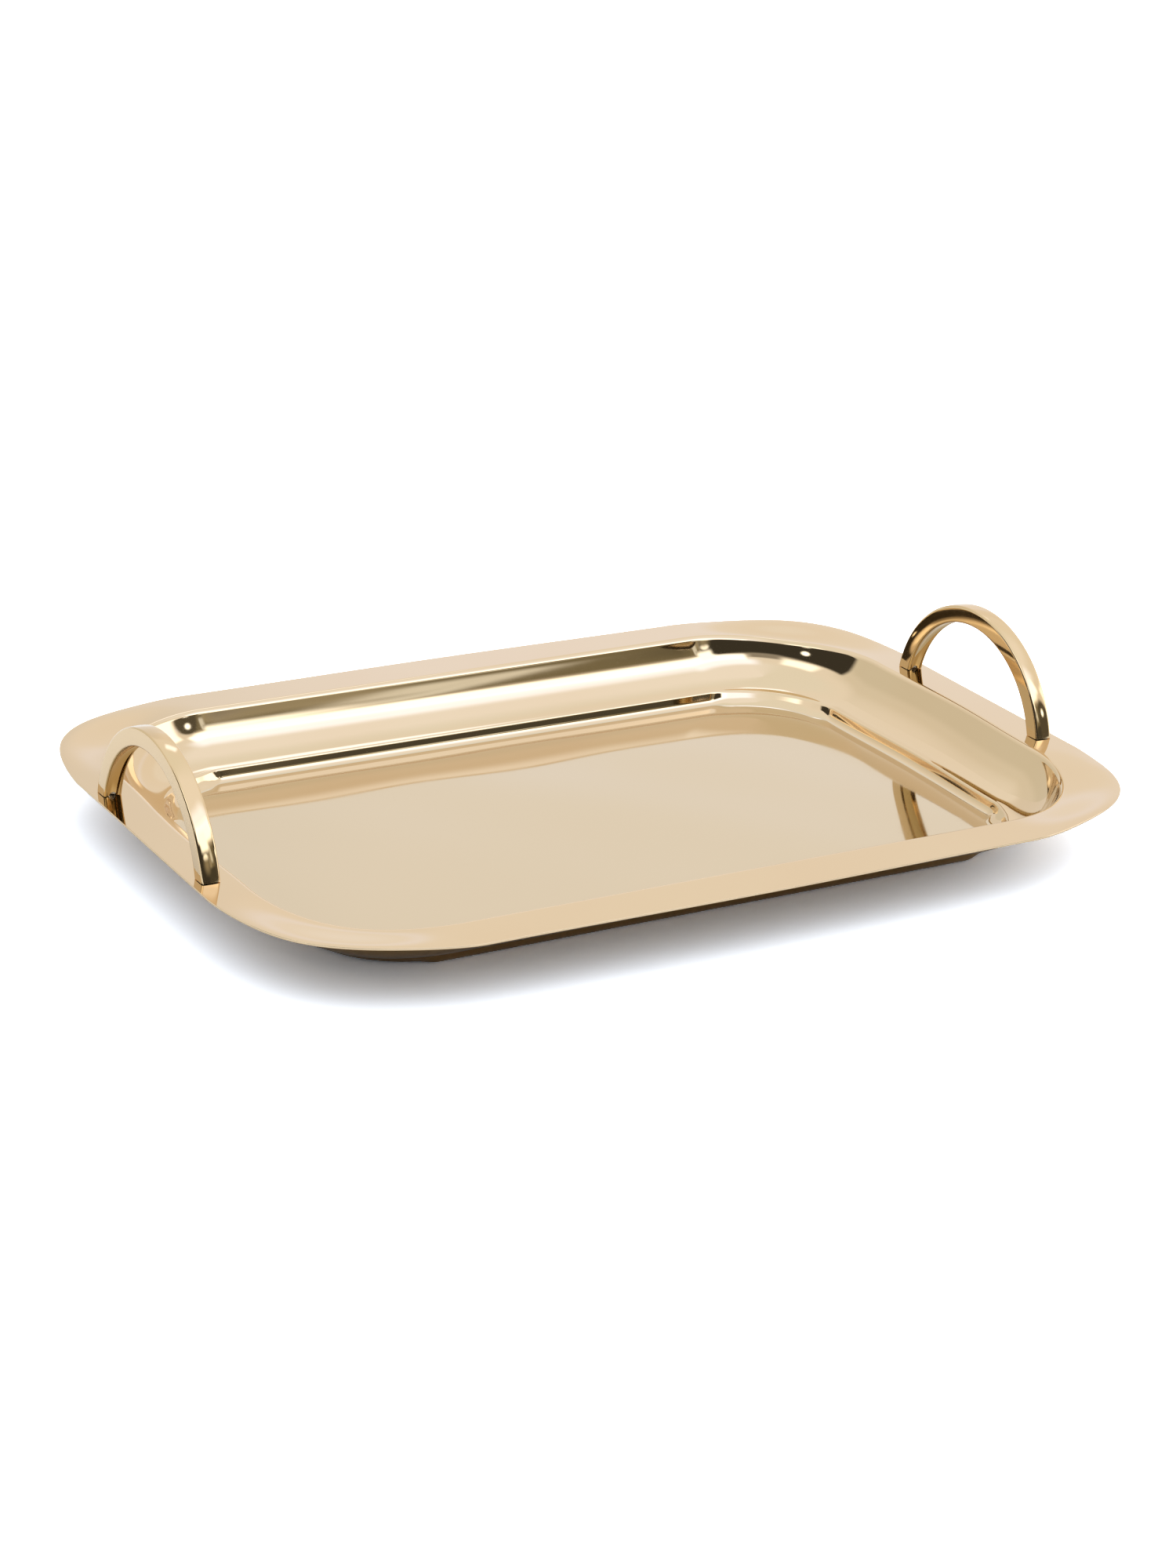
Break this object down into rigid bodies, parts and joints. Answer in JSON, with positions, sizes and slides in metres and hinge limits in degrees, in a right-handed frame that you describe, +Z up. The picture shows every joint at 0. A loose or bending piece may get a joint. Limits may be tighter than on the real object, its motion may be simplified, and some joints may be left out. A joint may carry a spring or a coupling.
{
  "type": "serving tray",
  "caption": "Deep rectangular brass serving tray with a flat rim, softly pointed corners, a stepped well and arched square-tube handles on its short sides.",
  "frame": {"origin": "centre of the flat base the tray stands on, at its underside", "axes": "+X along the long side towards the right handle, +Y along the short side towards the rear, +Z up out of the well"},
  "size_m": [0.4572, 0.3254, 0.0782],
  "materials": {
    "pan_brass": "mirror-polished pale gold brass with faint pressing waves and fine wiping marks",
    "handle_brass": "mirror-polished gold brass tube",
    "fixing_steel": "plain zinc-plated steel"
  },
  "bodies": {
    "root": {"tray_pan": "pan_brass", "left_handle": "handle_brass", "right_handle": "handle_brass", "left_front_plug": "fixing_steel", "left_front_washer": "fixing_steel", "left_front_screw": "fixing_steel", "left_rear_plug": "fixing_steel", "left_rear_washer": "fixing_steel", "left_rear_screw": "fixing_steel", "right_front_plug": "fixing_steel", "right_front_washer": "fixing_steel", "right_front_screw": "fixing_steel", "right_rear_plug": "fixing_steel", "right_rear_washer": "fixing_steel", "right_rear_screw": "fixing_steel"}
  },
  "joints": []
}
